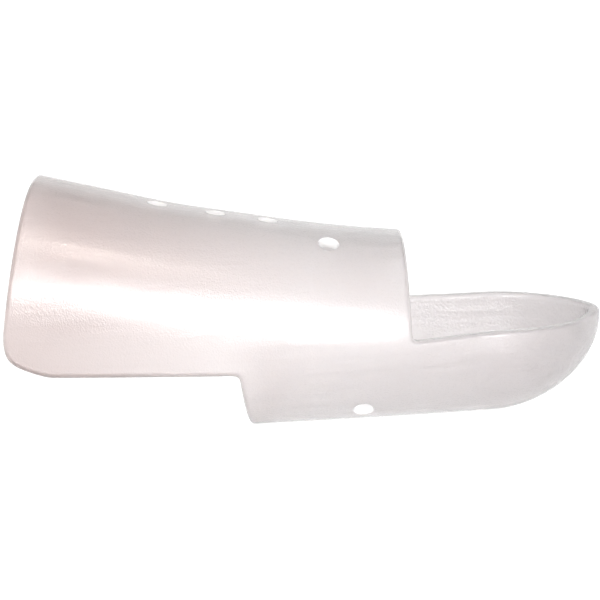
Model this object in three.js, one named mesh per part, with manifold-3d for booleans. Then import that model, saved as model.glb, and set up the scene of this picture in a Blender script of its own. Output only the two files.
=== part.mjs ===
// Finger splint for the last joint of a finger, moulded in one piece.
// A hood open below covers the back of the finger, a closed band goes round the joint,
// and a cup open above carries the fingertip.
// Millimetres, +X to the fingertip, +Z to the back of the finger, origin under the middle.

import * as THREE from "three";
import { mergeVertices } from "three/addons/utils/BufferGeometryUtils.js";
import Module from "manifold-3d";

const wasm = await Module();
wasm.setup();

// Driving sizes
const wall = 1.3;
const hood_length = 23.9;
const band_length = 18.05;
const cup_length = 21.45;
const nose_length = 11.9;
const band_height = 19.6;
const band_width = 19.9;
const hood_edge_height_at_rim = 8.4;
const hood_edge_height_at_cup = 7.25;
const cup_rim_height_at_hood = 9.95;
const cup_rim_height_at_nose = 10.2;
const nose_rise = 1.4;
const nose_side_taper = 1.17;
const nose_belly_taper = 1.28;
const nose_lean = 0.18;
const belly_rise = 4.0;
const cup_edge_sweep = 1.5;
const hood_corner_radius = 4.0;
const vent_diameter = 2.1;
const crown_flat_share = 0.12;
const sole_flat_width = 7.0;

const length = hood_length + band_length + cup_length;
const nose_base = length - nose_length;
const edge_radius = wall / 2;

// Cross sections from the hood's rim to where the nose begins.
// at is a share of that distance, crown and waist of the band's height,
// side of half the band's width, and lean is how far the section tilts forward per height.
const sections = [
  { at: 0.0, crown: 1.435, waist: 0.847, side: 1.106, lean: 0.215 },
  { at: 0.135, crown: 1.342, waist: 0.765, side: 1.086, lean: 0.19 },
  { at: 0.298, crown: 1.232, waist: 0.673, side: 1.061, lean: 0.14 },
  { at: 0.46, crown: 1.147, waist: 0.582, side: 1.035, lean: 0.1 },
  { at: 0.625, crown: 1.069, waist: 0.52, side: 1.015, lean: 0.03 },
  { at: 0.807, crown: 1.002, waist: 0.485, side: 1.0, lean: 0.0 },
  { at: 1.0, crown: 0.965, waist: 0.442, side: 0.879, lean: 0.0 },
];

// Vent holes: place along the splint as a share of its length, turn from the crown in degrees.
// The ones off the midline come in pairs, one on each side.
const vents = [
  { at: 0.219, turn: 0 },
  { at: 0.323, turn: 0 },
  { at: 0.418, turn: 0 },
  { at: 0.529, turn: 21.9 },
  { at: 0.577, turn: 142.4 },
];

// Mesh fineness
const hood_columns = 16;
const band_columns = 13;
const cup_columns = 7;
const nose_columns = 13;
const upper_rows = 15;
const lower_rows = 13;
const sole_flat_rows = 2;
const edge_steps = 4;
const vent_sides = 24;

// A smooth curve through one column of the section table, level where the nose begins.
function curve_through(column) {
  const places = sections.map((row) => row.at * nose_base);
  const values = sections.map((row) => row[column]);
  const last = places.length - 1;
  const steps = [];
  const rates = [];
  for (let i = 0; i < last; i += 1) {
    steps.push(places[i + 1] - places[i]);
    rates.push((values[i + 1] - values[i]) / steps[i]);
  }
  const slopes = new Array(last + 1).fill(0);
  for (let i = 1; i < last; i += 1) {
    slopes[i] = (steps[i - 1] * rates[i] + steps[i] * rates[i - 1]) / (steps[i - 1] + steps[i]);
  }
  slopes[0] = 2 * rates[0] - slopes[1];
  return (place) => {
    const held = THREE.MathUtils.clamp(place, places[0], places[last]);
    let i = 0;
    while (i < last - 1 && held > places[i + 1]) i += 1;
    const t = (held - places[i]) / steps[i];
    const bend_start = slopes[i] * steps[i] - (values[i + 1] - values[i]);
    const bend_end = -slopes[i + 1] * steps[i] + (values[i + 1] - values[i]);
    const straight = values[i] * (1 - t) + values[i + 1] * t;
    return straight + t * (1 - t) * (bend_start * (1 - t) + bend_end * t);
  };
}

const crown_share = curve_through("crown");
const waist_share = curve_through("waist");
const side_share = curve_through("side");
const lean_share = curve_through("lean");

// The section at a place along the splint. Past the nose's base the place runs
// round a quarter turn, and the section rises and shrinks to a point at the tip.
// A taper over 1 shrinks its sides or its belly sooner than an ellipse would.
function section_at(place) {
  const quarter = Math.max(0, (place - nose_base) / nose_length) * (Math.PI / 2);
  const forward = Math.sin(quarter);
  const shrink = Math.max(0, Math.cos(quarter));
  const waist = waist_share(place) * band_height;
  const before_cup = Math.max(0, 1 - place / hood_length);
  return {
    x: Math.min(place, nose_base) + nose_length * forward,
    forward,
    waist: waist + nose_rise * forward,
    above: (crown_share(place) * band_height - waist) * shrink,
    below: (waist - belly_rise * before_cup ** 1.5) * shrink ** nose_belly_taper,
    half: side_share(place) * (band_width / 2) * shrink ** nose_side_taper,
    sole_flat: (sole_flat_width / 2) * shrink ** nose_side_taper,
    lean: lean_share(place) - nose_lean * forward,
  };
}

// A point of the outer skin. The turn runs from the crown, 0, to the sole, half a turn.
// On the midline strips of the crown and the sole the spread falls from 1 to 0.
function skin_point(place, turn, spread = 1) {
  const section = section_at(place);
  const upper = turn < Math.PI / 2;
  const flat = upper ? section.half * crown_flat_share : section.sole_flat;
  const rise = (upper ? section.above : section.below) * Math.cos(turn);
  return new THREE.Vector3(
    section.x + section.lean * rise,
    flat * spread + (section.half - flat) * Math.sin(turn),
    section.waist + rise,
  );
}

// The outward direction of the skin, taken between close neighbours.
function skin_normal(place, turn) {
  const near = 0.004;
  const held = Math.min(place, length - 2 * near);
  const forward = skin_point(held + near, turn).sub(skin_point(held - near, turn));
  const spread_end = turn < near || turn > Math.PI - near;
  const around = spread_end
    ? new THREE.Vector3(0, turn < near ? 1 : -1, 0)
    : skin_point(held, turn + near).sub(skin_point(held, turn - near));
  const normal = forward.cross(around).normalize();
  if (spread_end) normal.setY(0).normalize();
  return normal;
}

// The turn at which the skin passes a given height.
function turn_at_height(place, height) {
  const section = section_at(Math.min(place, nose_base));
  const reach = height > section.waist ? section.above : section.below;
  const base_turn = Math.acos((height - section.waist) / reach);
  const forward = section_at(place).forward;
  return Math.acos(Math.cos(base_turn) * (1 - forward));
}

// The line the hood's lower edge follows, carried on level along the band and the cup.
function lower_line(place) {
  const share = Math.min(1, place / hood_length);
  const height = THREE.MathUtils.lerp(hood_edge_height_at_rim, hood_edge_height_at_cup, share);
  return turn_at_height(place, height + edge_radius);
}

// The line the cup's rim follows, carried back along the band and the hood.
function upper_line(place) {
  const band_gap = cup_rim_height_at_hood - hood_edge_height_at_cup - wall;
  const hood_share = Math.max(0, 1 - place / hood_length);
  const hood_drop = hood_edge_height_at_rim - hood_edge_height_at_cup;
  const band_end = hood_length + band_length;
  const cup_share = THREE.MathUtils.clamp((place - band_end) / (nose_base - band_end), 0, 1);
  const cup_rise = cup_rim_height_at_nose - cup_rim_height_at_hood;
  const height = hood_edge_height_at_cup + wall + band_gap
    + hood_drop * hood_share + cup_rise * cup_share;
  return turn_at_height(place, height - edge_radius);
}

// Rows from the crown's midline to the sole's midline.
const rim_row = upper_rows + 1;
const hood_edge_row = rim_row + 2;
const sole_row = hood_edge_row + lower_rows;
const last_row = sole_row + sole_flat_rows;
const between_lines = 0.75;

function row_turn(row, place) {
  if (row <= rim_row) return (upper_line(place) * Math.max(0, row - 1)) / upper_rows;
  if (row < hood_edge_row) {
    return THREE.MathUtils.lerp(upper_line(place), lower_line(place), between_lines);
  }
  const share = Math.min(1, (row - hood_edge_row) / lower_rows);
  return THREE.MathUtils.lerp(lower_line(place), Math.PI, share);
}

function row_spread(row) {
  if (row === 0) return 0;
  return row > sole_row ? 1 - (row - sole_row) / sole_flat_rows : 1;
}

// Columns from the hood's rim to the tip. The hood's rim turns into its lower edge
// round a corner, and the cup's near edge sweeps forward towards the sole.
const band_column = hood_columns;
const cup_column = band_column + band_columns;
const nose_column = cup_column + cup_columns;
const last_column = nose_column + nose_columns;

const hood_rim_place = edge_radius;
const band_place = hood_length + edge_radius;
const cup_place = hood_length + band_length - edge_radius;

function corner_setback(row) {
  const corner = skin_point(hood_rim_place, row_turn(hood_edge_row, hood_rim_place));
  const here = skin_point(hood_rim_place, row_turn(row, hood_rim_place));
  const left = Math.max(0, hood_corner_radius - here.distanceTo(corner));
  return hood_corner_radius - Math.sqrt(hood_corner_radius ** 2 - left ** 2);
}

function cup_edge_setback(row) {
  const share = Math.max(0, row - hood_edge_row) / (last_row - hood_edge_row);
  return cup_edge_sweep * Math.sin((share * Math.PI) / 2);
}

function column_place(column, row) {
  if (column <= band_column) {
    const start = hood_rim_place + (row <= hood_edge_row ? corner_setback(row) : 0);
    return THREE.MathUtils.lerp(start, band_place, column / hood_columns);
  }
  if (column <= cup_column) {
    const start = band_place + cup_edge_setback(row);
    return THREE.MathUtils.lerp(start, cup_place, (column - band_column) / band_columns);
  }
  if (column <= nose_column) {
    return THREE.MathUtils.lerp(cup_place, nose_base, (column - cup_column) / cup_columns);
  }
  return nose_base + (nose_length * (column - nose_column)) / nose_columns;
}

function grid_place(column, row) {
  const swept = column === band_column && row > hood_edge_row;
  return swept ? band_place + cup_edge_setback(row) : column_place(column, row);
}

function in_shell(column, row) {
  if (column < band_column) return row < hood_edge_row;
  return column < cup_column || row >= rim_row;
}

// Outer and inner skin points with their outward directions, for one side.
const grid = [];
for (let column = 0; column <= last_column; column += 1) {
  const line = [];
  for (let row = 0; row <= last_row; row += 1) {
    const place = grid_place(column, row);
    const turn = row_turn(row, place);
    const outer = skin_point(place, turn, row_spread(row));
    const normal = skin_normal(place, column === last_column ? Math.PI : turn);
    if (row === 0 || row === last_row || column === last_column) outer.setY(0);
    const inner = outer.clone().addScaledVector(normal, -wall);
    line.push({ outer, inner, normal });
  }
  grid.push(line);
}

// The faces of one side, then their mirror images.
const corners = [];

function add_triangle(a, b, c) {
  corners.push(a, b, c);
  const mirrored = [a, c, b].map((point) => new THREE.Vector3(point.x, -point.y, point.z));
  corners.push(...mirrored);
}

// A four-cornered face, cut along its shorter diagonal.
function add_quad(a, b, c, d) {
  if (a.distanceTo(c) <= b.distanceTo(d)) {
    add_triangle(a, b, c);
    add_triangle(a, c, d);
  } else {
    add_triangle(a, b, d);
    add_triangle(b, c, d);
  }
}

for (let column = 0; column < last_column; column += 1) {
  for (let row = 0; row < last_row; row += 1) {
    if (!in_shell(column, row)) continue;
    const ring = [
      grid[column][row],
      grid[column + 1][row],
      grid[column + 1][row + 1],
      grid[column][row + 1],
    ];
    add_quad(...ring.map((spot) => spot.outer));
    add_quad(...ring.map((spot) => spot.inner).reverse());
  }
}

// A rounded edge along a line of grid points that starts and ends on the midline.
// The side is 1 where the free edge lies to the left of the line's way, -1 to its right.
function add_round_edge(line, side) {
  const away = line.map((spot, i) => {
    const sides = [];
    for (const [from, to] of [[i - 1, i], [i, i + 1]]) {
      if (!line[from] || !line[to]) continue;
      const way = line[to].outer.clone().sub(line[from].outer).normalize();
      sides.push(spot.normal.clone().cross(way).multiplyScalar(side).normalize());
    }
    if (sides.length === 1) return sides[0].setY(0).normalize();
    const open = 1 + sides[0].dot(sides[1]);
    return sides[0].add(sides[1]).divideScalar(open);
  });
  const rings = line.map((spot, i) => {
    const ring = [];
    for (let step = 0; step <= edge_steps; step += 1) {
      const angle = (Math.PI * step) / edge_steps;
      const point = spot.outer.clone().addScaledVector(spot.normal, -edge_radius);
      point.addScaledVector(spot.normal, edge_radius * Math.cos(angle));
      point.addScaledVector(away[i], edge_radius * Math.sin(angle));
      ring.push(point);
    }
    ring[0] = spot.outer;
    ring[edge_steps] = spot.inner;
    return ring;
  });
  for (let i = 0; i + 1 < rings.length; i += 1) {
    for (let step = 0; step < edge_steps; step += 1) {
      const ring = [
        rings[i][step],
        rings[i + 1][step],
        rings[i + 1][step + 1],
        rings[i][step + 1],
      ];
      add_quad(...(side > 0 ? ring : ring.reverse()));
    }
  }
}

const hood_side_line = [];
for (let row = 0; row <= hood_edge_row; row += 1) hood_side_line.push(grid[0][row]);
for (let column = 1; column <= band_column; column += 1) {
  hood_side_line.push(grid[column][hood_edge_row]);
}
for (let row = hood_edge_row + 1; row <= last_row; row += 1) {
  hood_side_line.push(grid[band_column][row]);
}
add_round_edge(hood_side_line, 1);

const cup_side_line = [];
for (let row = 0; row <= rim_row; row += 1) cup_side_line.push(grid[cup_column][row]);
for (let column = cup_column + 1; column <= last_column; column += 1) {
  cup_side_line.push(grid[column][rim_row]);
}
add_round_edge(cup_side_line, -1);

// Closed bodies that can be joined and cut.
function closed_body(geometry) {
  geometry.deleteAttribute("normal");
  geometry.deleteAttribute("uv");
  const merged = mergeVertices(geometry, 1e-5);
  const index = merged.index.array;
  const kept = [];
  for (let i = 0; i < index.length; i += 3) {
    const [a, b, c] = [index[i], index[i + 1], index[i + 2]];
    if (a !== b && b !== c && c !== a) kept.push(a, b, c);
  }
  return new wasm.Manifold(new wasm.Mesh({
    numProp: 3,
    vertProperties: Float32Array.from(merged.attributes.position.array),
    triVerts: Uint32Array.from(kept),
  }));
}

let body = closed_body(new THREE.BufferGeometry().setFromPoints(corners));

// Vent holes, square to the wall.
function vent_at(place, turn, side) {
  const centre = skin_point(place, turn, turn === 0 ? 0 : 1);
  const normal = skin_normal(place, turn);
  centre.addScaledVector(normal, -wall / 2);
  const pin = new THREE.CylinderGeometry(
    vent_diameter / 2, vent_diameter / 2, 3 * wall, vent_sides,
  );
  const turned = new THREE.Quaternion().setFromUnitVectors(new THREE.Vector3(0, 1, 0), normal);
  pin.applyQuaternion(turned);
  pin.translate(centre.x, centre.y, centre.z);
  const solid = closed_body(pin);
  return side > 0 ? solid : solid.mirror([0, 1, 0]);
}

for (const vent of vents) {
  const sides = vent.turn === 0 ? [1] : [1, -1];
  for (const side of sides) {
    body = body.subtract(vent_at(vent.at * length, THREE.MathUtils.degToRad(vent.turn), side));
  }
}

const cut = body.getMesh();
const geometry = new THREE.BufferGeometry();
geometry.setAttribute("position", new THREE.BufferAttribute(cut.vertProperties, 3));
geometry.setIndex(new THREE.BufferAttribute(cut.triVerts, 1));
geometry.computeBoundingBox();
geometry.translate(-(geometry.boundingBox.min.x + geometry.boundingBox.max.x) / 2, 0, 0);
geometry.computeVertexNormals();

const polyethylene = new THREE.MeshStandardMaterial({ color: 0xd9d5d6, roughness: 0.4 });
const shell = new THREE.Mesh(geometry, polyethylene);
shell.name = "splint_shell";

const splint = new THREE.Group();
splint.name = "finger_splint";
splint.add(shell);

export default splint;
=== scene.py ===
import math

import bmesh
import bpy
from mathutils import Matrix, Quaternion, Vector


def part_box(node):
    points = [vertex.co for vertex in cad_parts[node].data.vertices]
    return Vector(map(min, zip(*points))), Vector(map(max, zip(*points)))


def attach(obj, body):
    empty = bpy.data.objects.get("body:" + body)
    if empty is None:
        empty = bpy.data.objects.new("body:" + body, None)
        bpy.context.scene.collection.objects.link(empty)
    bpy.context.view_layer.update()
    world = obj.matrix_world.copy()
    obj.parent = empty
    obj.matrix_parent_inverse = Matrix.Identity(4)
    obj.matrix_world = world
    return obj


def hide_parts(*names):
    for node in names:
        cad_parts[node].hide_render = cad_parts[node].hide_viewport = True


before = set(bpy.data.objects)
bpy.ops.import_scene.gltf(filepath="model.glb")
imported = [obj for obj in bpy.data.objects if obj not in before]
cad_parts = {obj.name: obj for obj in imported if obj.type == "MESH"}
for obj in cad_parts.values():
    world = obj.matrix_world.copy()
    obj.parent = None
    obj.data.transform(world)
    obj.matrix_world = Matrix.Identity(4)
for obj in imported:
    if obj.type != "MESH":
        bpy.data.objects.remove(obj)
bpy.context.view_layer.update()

# A one-piece finger splint of milky, frosted polyethylene: hood, closed band and cup.
# The shell is worked out in millimetres and brought to metres when it is done.
MM = 0.001
NODE = "splint_shell"

# Driving sizes, the same as the solid's
WALL = 1.3
HOOD_LENGTH = 23.9
BAND_LENGTH = 18.05
CUP_LENGTH = 21.45
NOSE_LENGTH = 11.9
BAND_HEIGHT = 19.6
BAND_WIDTH = 19.9
HOOD_EDGE_HEIGHT_AT_RIM = 8.4
HOOD_EDGE_HEIGHT_AT_CUP = 7.25
CUP_RIM_HEIGHT_AT_HOOD = 9.95
CUP_RIM_HEIGHT_AT_NOSE = 10.2
NOSE_RISE = 1.4
NOSE_SIDE_TAPER = 1.17
NOSE_BELLY_TAPER = 1.28
NOSE_LEAN = 0.18
BELLY_RISE = 4.0
CUP_EDGE_SWEEP = 1.5
HOOD_CORNER_RADIUS = 4.65
VENT_DIAMETER = 2.1
VENT_LIP = 0.14
VENT_CORNERS = 8
VENT_HOLD_CELLS = 1.5
VENT_PULL_CELLS = 3.0
CROWN_FLAT_SHARE = 0.12
SOLE_FLAT_WIDTH = 7.0
RIM_ROUNDING = 0.46 * WALL

LENGTH = HOOD_LENGTH + BAND_LENGTH + CUP_LENGTH
BAND_END = HOOD_LENGTH + BAND_LENGTH
NOSE_BASE = LENGTH - NOSE_LENGTH
QUARTER_TURN = math.pi / 2

# Cross sections from the hood's rim to where the nose begins
SECTIONS = [
    {"at": 0.0, "crown": 1.435, "waist": 0.847, "side": 1.106, "lean": 0.215},
    {"at": 0.135, "crown": 1.342, "waist": 0.765, "side": 1.086, "lean": 0.19},
    {"at": 0.298, "crown": 1.232, "waist": 0.673, "side": 1.061, "lean": 0.14},
    {"at": 0.46, "crown": 1.147, "waist": 0.582, "side": 1.035, "lean": 0.1},
    {"at": 0.625, "crown": 1.069, "waist": 0.52, "side": 1.015, "lean": 0.03},
    {"at": 0.807, "crown": 1.002, "waist": 0.485, "side": 1.0, "lean": 0.0},
    {"at": 1.0, "crown": 0.965, "waist": 0.442, "side": 0.879, "lean": 0.0},
]

# Vent holes: place as a share of the length, turn from the crown in degrees
VENTS = [
    {"at": 0.219, "turn": 0.0},
    {"at": 0.323, "turn": 0.0},
    {"at": 0.418, "turn": 0.0},
    {"at": 0.529, "turn": 21.9},
    {"at": 0.577, "turn": 142.4},
]

# The shell's finishes, in the order of its material slots
OUTSIDE, INSIDE, VENT_WALLS = range(3)

# Where the painted shade and painted warm reflection of the base colour run from and to along X, and the
# fine marks in the surface
PAINTED_LIGHT_FROM = -30 * MM
PAINTED_LIGHT_TO = 30 * MM
ROUGHNESS_SPREAD = 0.04
STREAK_WIDTH = 1.2 * MM
STREAK_STRETCH = 0.06
SPARKLE_FROM = 0.6
SPARKLE_TO = 0.72

# Cells of the sheet that the shell is formed from
HOOD_CELLS = 19
BAND_CELLS = 14
CUP_CELLS = 8
NOSE_CELLS = 7
UPPER_CELLS = 14
OVERLAP_CELLS = 2
FLAT_CELLS = 2
LOWER_CELLS = 2 * NOSE_CELLS
COLUMNS = HOOD_CELLS + BAND_CELLS + CUP_CELLS + 2 * NOSE_CELLS
ROWS = UPPER_CELLS + LOWER_CELLS
WELD_DISTANCE = 0.001
CUP_COLUMN = HOOD_CELLS + BAND_CELLS
NOSE_COLUMN = CUP_COLUMN + CUP_CELLS
HOOD_EDGE_ROW = UPPER_CELLS + OVERLAP_CELLS


def blend_between(low, high, share):
    return low + (high - low) * share


def held_share(share):
    return min(1.0, max(0.0, share))


def curve_through(column):
    """A smooth curve through one column of the sections, level where the nose begins."""
    places = [row["at"] * NOSE_BASE for row in SECTIONS]
    values = [row[column] for row in SECTIONS]
    last = len(places) - 1
    steps = [places[i + 1] - places[i] for i in range(last)]
    rates = [(values[i + 1] - values[i]) / steps[i] for i in range(last)]
    slopes = [0.0] * (last + 1)
    for i in range(1, last):
        slopes[i] = (steps[i - 1] * rates[i] + steps[i] * rates[i - 1]) / (steps[i - 1] + steps[i])
    slopes[0] = 2 * rates[0] - slopes[1]

    def value(place):
        held = min(places[last], max(places[0], place))
        i = 0
        while i < last - 1 and held > places[i + 1]:
            i += 1
        t = (held - places[i]) / steps[i]
        rise = values[i + 1] - values[i]
        bend_start = slopes[i] * steps[i] - rise
        bend_end = rise - slopes[i + 1] * steps[i]
        straight = blend_between(values[i], values[i + 1], t)
        return straight + t * (1 - t) * (bend_start * (1 - t) + bend_end * t)

    return value


crown_share = curve_through("crown")
waist_share = curve_through("waist")
side_share = curve_through("side")
lean_share = curve_through("lean")


def section_at(place):
    """The section at a place. Past the nose's base the place runs round a quarter turn,
    and the section rises and shrinks to a point at the tip."""
    quarter = max(0.0, (place - NOSE_BASE) / NOSE_LENGTH) * QUARTER_TURN
    forward = math.sin(quarter)
    shrink = max(0.0, math.cos(quarter))
    waist = waist_share(place) * BAND_HEIGHT
    belly = BELLY_RISE * max(0.0, 1 - place / HOOD_LENGTH) ** 1.5
    return {
        "x": min(place, NOSE_BASE) + NOSE_LENGTH * forward,
        "waist": waist + NOSE_RISE * forward,
        "above": (crown_share(place) * BAND_HEIGHT - waist) * shrink,
        "below": (waist - belly) * shrink ** NOSE_BELLY_TAPER,
        "half": side_share(place) * BAND_WIDTH / 2 * shrink ** NOSE_SIDE_TAPER,
        "sole_flat": SOLE_FLAT_WIDTH / 2 * shrink ** NOSE_SIDE_TAPER,
        "lean": lean_share(place) - NOSE_LEAN * forward,
    }


def skin_point(place, turn, spread=1.0):
    """A point of the outer skin. The turn runs from the crown, 0, to the sole, half a turn."""
    section = section_at(place)
    upper = turn < QUARTER_TURN
    flat = section["half"] * CROWN_FLAT_SHARE if upper else section["sole_flat"]
    rise = section["above" if upper else "below"] * math.cos(turn)
    across = flat * spread + (section["half"] - flat) * math.sin(turn)
    return Vector((section["x"] + section["lean"] * rise, across, section["waist"] + rise))


def turn_at_height(place, height):
    section = section_at(min(place, NOSE_BASE))
    rise = height - section["waist"]
    return math.acos(rise / section["above" if rise > 0 else "below"])


def rim_turn(place):
    """The line of the cup's rim, carried back along the band and the hood."""
    before = max(0.0, 1 - place / HOOD_LENGTH)
    after = held_share((place - BAND_END) / (NOSE_BASE - BAND_END))
    height = CUP_RIM_HEIGHT_AT_HOOD
    height += (HOOD_EDGE_HEIGHT_AT_RIM - HOOD_EDGE_HEIGHT_AT_CUP) * before
    height += (CUP_RIM_HEIGHT_AT_NOSE - CUP_RIM_HEIGHT_AT_HOOD) * after
    base = turn_at_height(place, height)
    quarter = max(0.0, (place - NOSE_BASE) / NOSE_LENGTH) * QUARTER_TURN
    return math.acos(math.cos(base) * (1 - math.sin(quarter)))


def hood_edge_turn(place):
    """The line of the hood's lower edge, eased into an even spacing of rows past the hood."""
    share = min(1.0, place / HOOD_LENGTH)
    height = blend_between(HOOD_EDGE_HEIGHT_AT_RIM, HOOD_EDGE_HEIGHT_AT_CUP, share)
    eased = held_share((place - HOOD_LENGTH) / BAND_LENGTH)
    even = blend_between(rim_turn(place), math.pi, OVERLAP_CELLS / (LOWER_CELLS - FLAT_CELLS))
    return blend_between(turn_at_height(min(place, HOOD_LENGTH), height), even, eased)


def turn_and_spread(place, row):
    """Where a row, or a place between rows, lies round the section."""
    if row <= UPPER_CELLS:
        share = max(0.0, row - 1) / (UPPER_CELLS - 1)
        return rim_turn(place) * share, min(1.0, row)
    if row <= HOOD_EDGE_ROW:
        share = (row - UPPER_CELLS) / OVERLAP_CELLS
        return blend_between(rim_turn(place), hood_edge_turn(place), share), 1.0
    share = (row - HOOD_EDGE_ROW) / (LOWER_CELLS - OVERLAP_CELLS - FLAT_CELLS)
    turn = blend_between(hood_edge_turn(place), math.pi, min(1.0, share))
    return turn, min(1.0, (ROWS - row) / FLAT_CELLS)


def hood_corner_setback(row):
    """How far the hood's rim turns forward to meet its lower edge round a corner."""
    corner = skin_point(0.0, *turn_and_spread(0.0, HOOD_EDGE_ROW))
    here = skin_point(0.0, *turn_and_spread(0.0, min(row, HOOD_EDGE_ROW)))
    left = max(0.0, HOOD_CORNER_RADIUS - (here - corner).length)
    return HOOD_CORNER_RADIUS - math.sqrt(HOOD_CORNER_RADIUS ** 2 - left ** 2)


def cup_edge_setback(row):
    share = max(0, row - HOOD_EDGE_ROW) / (ROWS - HOOD_EDGE_ROW)
    return CUP_EDGE_SWEEP * math.sin(share * QUARTER_TURN)


def nose_spot(column, row):
    """The nose's three blocks of cells meet like the faces at a cube's corner."""
    out = column - NOSE_COLUMN
    down = row - UPPER_CELLS
    step = math.pi / 4 / NOSE_CELLS
    if out <= NOSE_CELLS and down <= NOSE_CELLS:
        way = Vector((math.tan(out * step), 1, math.tan(down * step)))
    elif out <= NOSE_CELLS:
        way = Vector((math.tan(out * step), math.tan((2 * NOSE_CELLS - down) * step), 1))
    else:
        way = Vector((1, math.tan((2 * NOSE_CELLS - out) * step), math.tan(down * step)))
    way.normalize()
    quarter = math.asin(min(1.0, way.x))
    share = math.atan2(way.z, way.y) / QUARTER_TURN
    return NOSE_BASE + NOSE_LENGTH * quarter / QUARTER_TURN, UPPER_CELLS + LOWER_CELLS * share


def even_spot(column, row):
    """The place along the splint, and the row, of one corner of the sheet's cells."""
    if column <= HOOD_CELLS and row <= HOOD_EDGE_ROW:
        share = column / HOOD_CELLS
        return blend_between(hood_corner_setback(row), HOOD_LENGTH, share), row
    if column <= CUP_COLUMN:
        start = HOOD_LENGTH + cup_edge_setback(row)
        return blend_between(start, BAND_END, (column - HOOD_CELLS) / BAND_CELLS), row
    if column <= NOSE_COLUMN:
        return blend_between(BAND_END, NOSE_BASE, (column - CUP_COLUMN) / CUP_CELLS), row
    return nose_spot(column, row)


def row_at_turn(place, turn):
    """The row, or place between rows, that a turn from the crown falls on."""
    if turn == 0:
        return 0.0
    if turn <= rim_turn(place):
        return 1 + (UPPER_CELLS - 1) * turn / rim_turn(place)
    share = (turn - hood_edge_turn(place)) / (math.pi - hood_edge_turn(place))
    return HOOD_EDGE_ROW + share * (LOWER_CELLS - OVERLAP_CELLS - FLAT_CELLS)


def vent_pulls():
    """For each vent, the cell corner nearest to it and how far that corner has to move."""
    pulls = []
    for vent in VENTS:
        place = vent["at"] * LENGTH
        row = row_at_turn(place, math.radians(vent["turn"]))
        corners = [(column, round(row)) for column in range(NOSE_COLUMN)]
        corner = min(corners, key=lambda spot: abs(even_spot(*spot)[0] - place))
        pulls.append((corner, place - even_spot(*corner)[0], row - corner[1]))
    return pulls


def sheet_spot(column, row, pulls):
    """A corner's place and row, with the corners round each vent drawn onto it."""
    place, at_row = even_spot(column, row)
    for (vent_column, vent_row), along, across in pulls:
        apart = math.hypot(column - vent_column, row - vent_row)
        near = 1 - held_share((apart - VENT_HOLD_CELLS) / VENT_PULL_CELLS)
        near = near * near * (3 - 2 * near)
        place += along * near
        # The first and last rows stay on the midline, where the two sides join
        if 0 < row < ROWS:
            at_row += across * near
    return place, at_row


def is_open(column, row):
    """Cells that the shell doesn't have: under the hood, over the cup, past the nose."""
    under_hood = column < HOOD_CELLS and row > HOOD_EDGE_ROW
    over_cup = column > CUP_COLUMN and row < UPPER_CELLS
    past_nose = column > NOSE_COLUMN + NOSE_CELLS and row > UPPER_CELLS + NOSE_CELLS
    return under_hood or over_cup or past_nose


def form_sheet():
    """One side of the outer skin, drawn as a flat grid, cut to its outline and bent to shape."""
    sheet = bmesh.new()
    bmesh.ops.create_grid(sheet, x_segments=COLUMNS, y_segments=ROWS, size=0.5)
    bmesh.ops.translate(sheet, vec=(0.5, 0.5, 0), verts=sheet.verts)
    bmesh.ops.scale(sheet, vec=(COLUMNS, ROWS, 1), verts=sheet.verts)
    middles = {face: face.calc_center_median() for face in sheet.faces}
    spare = [face for face, middle in middles.items() if is_open(middle.x, middle.y)]
    bmesh.ops.delete(sheet, geom=spare, context="FACES")
    pulls = vent_pulls()
    for vert in sheet.verts:
        column, row = round(vert.co.x), round(vert.co.y)
        place, at_row = sheet_spot(column, row, pulls)
        vert.co = skin_point(place, *turn_and_spread(place, at_row))
    return sheet


def close_sides(sheet):
    """Mirror the side and join the two along the middle."""
    bmesh.ops.remove_doubles(sheet, verts=sheet.verts, dist=WELD_DISTANCE)
    geom = sheet.verts[:] + sheet.edges[:] + sheet.faces[:]
    bmesh.ops.mirror(
        sheet, geom=geom, matrix=Matrix.Identity(4), merge_dist=WELD_DISTANCE, axis="Y",
    )
    bmesh.ops.recalc_face_normals(sheet, faces=sheet.faces)
    crown = max(sheet.faces, key=lambda face: face.calc_center_median().z)
    if crown.normal.z < 0:
        bmesh.ops.reverse_faces(sheet, faces=sheet.faces)


def open_vents(sheet):
    """Open a round hole at each vent and return the corners that stand round the holes."""
    around = set()
    for vent in VENTS:
        on_crown = vent["turn"] == 0
        spread = 0.0 if on_crown else 1.0
        centre = skin_point(vent["at"] * LENGTH, math.radians(vent["turn"]), spread)
        for side in ((1,) if on_crown else (1, -1)):
            around.update(open_vent(sheet, Vector((centre.x, centre.y * side, centre.z))))
    return around


def open_vent(sheet, centre):
    nearest = min(sheet.verts, key=lambda vert: (vert.co - centre).length)
    sheet.normal_update()
    normal = nearest.normal.copy()
    ring = {vert for face in nearest.link_faces for vert in face.verts if vert is not nearest}
    along = (Vector((1, 0, 0)) - normal * normal.x).normalized()
    across = normal.cross(along)
    bmesh.ops.delete(sheet, geom=[nearest], context="VERTS")
    step = 2 * math.pi / VENT_CORNERS
    # The smoothing draws a ring of corners in by this share of its radius
    radius = VENT_DIAMETER / 2 / (2 / 3 + math.cos(step) / 3)
    for vert in ring:
        arm = vert.co - centre
        angle = round(math.atan2(arm.dot(across), arm.dot(along)) / step) * step
        reach = math.hypot(arm.dot(across), arm.dot(along))
        sag = arm.dot(normal) * (radius / reach) ** 2
        flat = along * math.cos(angle) + across * math.sin(angle)
        vert.co = centre + flat * radius + normal * sag
    return ring


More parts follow.
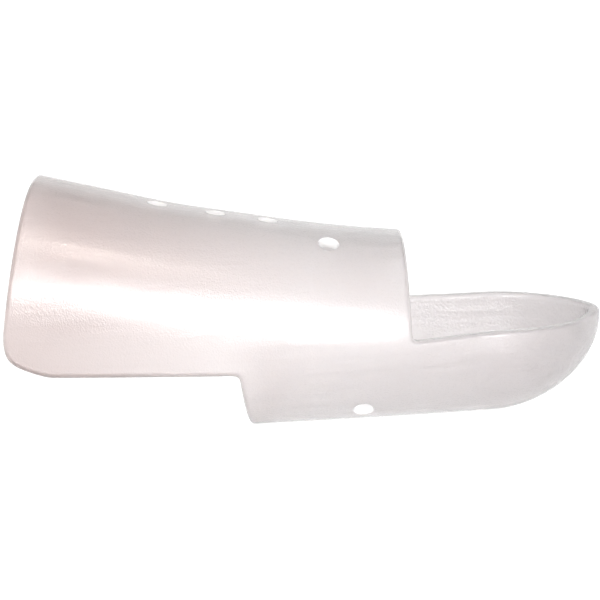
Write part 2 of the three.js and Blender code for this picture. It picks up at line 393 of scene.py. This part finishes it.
def give_wall(sheet, vent_corners):
    """Thicken the skin inwards and round its free edges and the vents' lips."""
    outer = set(sheet.verts)
    bmesh.ops.solidify(sheet, geom=sheet.faces[:] + sheet.edges[:] + sheet.verts[:], thickness=WALL)
    rims = [face for face in sheet.faces if 0 < sum(v in outer for v in face.verts) < len(face.verts)]
    for face in sheet.faces:
        touches_outer = any(v in outer for v in face.verts)
        face.material_index = OUTSIDE if touches_outer else INSIDE
    free_edges, vent_edges = [], []
    for face in rims:
        if any(v in vent_corners for v in face.verts):
            face.material_index = VENT_WALLS
        for edge in face.edges:
            first, second = edge.verts
            if (first in outer) != (second in outer):
                continue
            at_vent = any(v in vent_corners for v in face.verts)
            (vent_edges if at_vent else free_edges).append(edge)
    bevel = dict(offset_type="OFFSET", profile=0.5, affect="EDGES", material=-1, clamp_overlap=True)
    bmesh.ops.bevel(sheet, geom=vent_edges, offset=VENT_LIP, segments=2, **bevel)
    free_edges = [edge for edge in free_edges if edge.is_valid]
    bmesh.ops.bevel(sheet, geom=free_edges, offset=RIM_ROUNDING, segments=4, **bevel)


def make_shell():
    sheet = form_sheet()
    close_sides(sheet)
    vent_corners = open_vents(sheet)
    give_wall(sheet, vent_corners)
    steps = 200
    places = [NOSE_BASE + NOSE_LENGTH * step / steps for step in range(steps + 1)]
    reach = max(skin_point(place, math.pi).x for place in places)
    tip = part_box(NODE)[1].x
    bmesh.ops.translate(sheet, vec=(-reach, 0, 0), verts=sheet.verts)
    bmesh.ops.scale(sheet, vec=(MM, MM, MM), verts=sheet.verts)
    bmesh.ops.translate(sheet, vec=(tip, 0, 0), verts=sheet.verts)
    mesh = bpy.data.meshes.new("moulded_shell")
    sheet.to_mesh(mesh)
    sheet.free()
    mesh.shade_smooth()
    shell = bpy.data.objects.new("moulded_shell", mesh)
    bpy.context.scene.collection.objects.link(shell)
    smooth = shell.modifiers.new("smooth_skin", "SUBSURF")
    smooth.levels = 2
    smooth.render_levels = 2
    return shell


def milky_polyethylene(name, painted_light_tints, clearness, roughness, grain, relief, streak):
    """Frosted translucent plastic with a fine sparkling grain over faint lengthwise streaks.
    The tints, at the hood's rim, at the band and at the tip, are painted light: they make each part
    lighter or darker in place of the lamps' shading, and the hood's rim pinker as a painted warm
    reflection."""
    material = bpy.data.materials.new(name)
    material.use_nodes = True
    nodes = material.node_tree.nodes
    links = material.node_tree.links
    skin = nodes["Principled BSDF"]
    skin.inputs["IOR"].default_value = 1.51
    skin.inputs["Transmission Weight"].default_value = clearness
    skin.inputs["Coat Weight"].default_value = 1.0
    skin.inputs["Coat Roughness"].default_value = 0.08
    skin.inputs["Subsurface Weight"].default_value = 0.8
    skin.inputs["Subsurface Radius"].default_value = (1.0, 0.95, 0.9)
    skin.inputs["Subsurface Scale"].default_value = 2 * MM
    place = nodes.new("ShaderNodeTexCoord")

    along = nodes.new("ShaderNodeSeparateXYZ")
    painted_light_share = nodes.new("ShaderNodeMapRange")
    painted_light_share.inputs["From Min"].default_value = PAINTED_LIGHT_FROM
    painted_light_share.inputs["From Max"].default_value = PAINTED_LIGHT_TO
    # This ramp paints light into the base colour along X: painted shade and a painted warm reflection at
    # the hood, lighter towards the band.
    tint = nodes.new("ShaderNodeValToRGB")
    tint.color_ramp.elements.new(0.5)
    for stop, shade in zip(tint.color_ramp.elements, painted_light_tints):
        stop.color = shade
    links.new(place.outputs["Object"], along.inputs["Vector"])
    links.new(along.outputs["X"], painted_light_share.inputs["Value"])
    links.new(painted_light_share.outputs["Result"], tint.inputs["Fac"])
    links.new(tint.outputs["Color"], skin.inputs["Base Color"])

    frost = nodes.new("ShaderNodeTexNoise")
    frost.inputs["Scale"].default_value = 1 / grain
    frost.inputs["Detail"].default_value = 2
    flow = nodes.new("ShaderNodeTexNoise")
    flow.inputs["Scale"].default_value = 1 / STREAK_WIDTH
    flow.inputs["Detail"].default_value = 2
    drawn = nodes.new("ShaderNodeMapping")
    drawn.inputs["Scale"].default_value = (STREAK_STRETCH, 1, 1)
    rough = nodes.new("ShaderNodeMapRange")
    rough.inputs["To Min"].default_value = roughness - ROUGHNESS_SPREAD
    rough.inputs["To Max"].default_value = roughness + ROUGHNESS_SPREAD
    ripple = nodes.new("ShaderNodeBump")
    ripple.inputs["Strength"].default_value = 1.0
    ripple.inputs["Distance"].default_value = streak
    bump = nodes.new("ShaderNodeBump")
    bump.inputs["Strength"].default_value = 1.0
    bump.inputs["Distance"].default_value = relief
    # In the gloss the highest grains stand up further, as separate sparkling points
    grains = nodes.new("ShaderNodeMapRange")
    grains.inputs["From Min"].default_value = SPARKLE_FROM
    grains.inputs["From Max"].default_value = SPARKLE_TO
    sparkle = nodes.new("ShaderNodeBump")
    sparkle.inputs["Strength"].default_value = 1.0
    sparkle.inputs["Distance"].default_value = 2 * relief
    links.new(place.outputs["Object"], frost.inputs["Vector"])
    links.new(place.outputs["Object"], drawn.inputs["Vector"])
    links.new(drawn.outputs["Vector"], flow.inputs["Vector"])
    links.new(flow.outputs["Fac"], rough.inputs["Value"])
    links.new(rough.outputs["Result"], skin.inputs["Roughness"])
    links.new(flow.outputs["Fac"], ripple.inputs["Height"])
    links.new(ripple.outputs["Normal"], bump.inputs["Normal"])
    links.new(frost.outputs["Fac"], bump.inputs["Height"])
    links.new(bump.outputs["Normal"], skin.inputs["Normal"])
    links.new(bump.outputs["Normal"], sparkle.inputs["Normal"])
    links.new(frost.outputs["Fac"], grains.inputs["Value"])
    links.new(grains.outputs["Result"], sparkle.inputs["Height"])
    links.new(sparkle.outputs["Normal"], skin.inputs["Coat Normal"])
    return material


def studio():
    floor_mesh = bmesh.new()
    bmesh.ops.create_grid(floor_mesh, x_segments=1, y_segments=1, size=3.0)
    mesh = bpy.data.meshes.new("floor")
    floor_mesh.to_mesh(mesh)
    floor_mesh.free()
    floor = bpy.data.objects.new("floor", mesh)
    bpy.context.scene.collection.objects.link(floor)
    pale = bpy.data.materials.new("pale_floor")
    pale.use_nodes = True
    sheet = pale.node_tree.nodes["Principled BSDF"]
    sheet.inputs["Base Color"].default_value = (0.2, 0.2, 0.2, 1)
    sheet.inputs["Roughness"].default_value = 0.9
    # The floor is a light table: its own glow keeps the shadow under the splint faint
    sheet.inputs["Emission Color"].default_value = (1, 1, 1, 1)
    sheet.inputs["Emission Strength"].default_value = 0.92
    mesh.materials.append(pale)
    world = bpy.data.worlds.new("light_tent")
    world.use_nodes = True
    world.node_tree.nodes["Background"].inputs["Color"].default_value = (1, 1, 1, 1)
    world.node_tree.nodes["Background"].inputs["Strength"].default_value = 1.05
    bpy.context.scene.world = world


def soft_light(name, place, target, size, power, tint=(1, 1, 1), roll=0.0):
    lamp = bpy.data.lights.new(name, "AREA")
    lamp.shape = "RECTANGLE"
    lamp.size, lamp.size_y = size
    lamp.energy = power
    lamp.color = tint
    light = bpy.data.objects.new(name, lamp)
    light.location = place
    aim = (Vector(target) - Vector(place)).to_track_quat("-Z", "Y")
    light.rotation_euler = (aim @ Quaternion((0, 0, 1), math.radians(roll))).to_euler()
    bpy.context.scene.collection.objects.link(light)


def camera():
    elevation, roll = math.radians(15), math.radians(3.4)
    target = Vector((-0.92, 0, 12.68)) * MM
    distance = 170
    back = Vector((0, -math.cos(elevation), math.sin(elevation)))
    lens = bpy.data.cameras.new("camera")
    lens.lens = 92.3
    lens.sensor_width = 36
    lens.clip_start = 0.01
    eye = bpy.data.objects.new("camera", lens)
    turn = back.to_track_quat("Z", "Y").to_matrix().to_4x4() @ Matrix.Rotation(-roll, 4, "Z")
    eye.matrix_world = Matrix.Translation(target + back * distance * MM) @ turn
    bpy.context.scene.collection.objects.link(eye)
    bpy.context.scene.camera = eye


shell = make_shell()
# Each finish's three tints are painted light: outside, the hood is darker and pinker as painted shade
# and a painted warm reflection, and the band lighter; inside, the tip is darker as painted shade.
finishes = [
    milky_polyethylene(
        "frosted_outside", [(0.58, 0.49, 0.475, 1), (0.86, 0.82, 0.82, 1), (0.72, 0.685, 0.69, 1)],
        clearness=0.8, roughness=0.38, grain=0.18 * MM, relief=0.035 * MM, streak=0.05 * MM,
    ),
    milky_polyethylene(
        "glossy_inside", [(0.8, 0.74, 0.73, 1), (0.8, 0.77, 0.77, 1), (0.66, 0.635, 0.64, 1)],
        clearness=0.8, roughness=0.34, grain=0.3 * MM, relief=0.08 * MM, streak=0.2 * MM,
    ),
    # The vent walls are painted near white as a painted glint, so the holes look bright without a lamp
    # lighting them.
    milky_polyethylene(
        "painted_glint_vent_walls", [(0.97, 0.95, 0.95, 1), (0.97, 0.96, 0.96, 1), (0.97, 0.96, 0.96, 1)],
        clearness=0.25, roughness=0.38, grain=0.35 * MM, relief=0.02 * MM, streak=0.02 * MM,
    ),
]
for finish in finishes:
    shell.data.materials.append(finish)
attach(shell, "root")
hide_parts(NODE)

studio()
soft_light("front_window", (-0.01, -0.3, 0.022), (0, 0, 0.012), (0.14, 0.06), 0.57, roll=22)
soft_light("bounce_card", (0.03, -0.11, 0.002), (0.01, -0.03, 0.02), (0.12, 0.08), 0.06)
soft_light("cup_glint", (0.0, -0.19, 0.075), (0.02, 0, 0.008), (0.03, 0.012), 0.05)
soft_light(
    "warm_glint", (-0.013, -0.063, 0.08), (-0.024, -0.009, 0.022), (0.012, 0.016), 0.015, (1, 0.88, 0.8),
)
camera()
bpy.context.scene.view_settings.view_transform = "Standard"
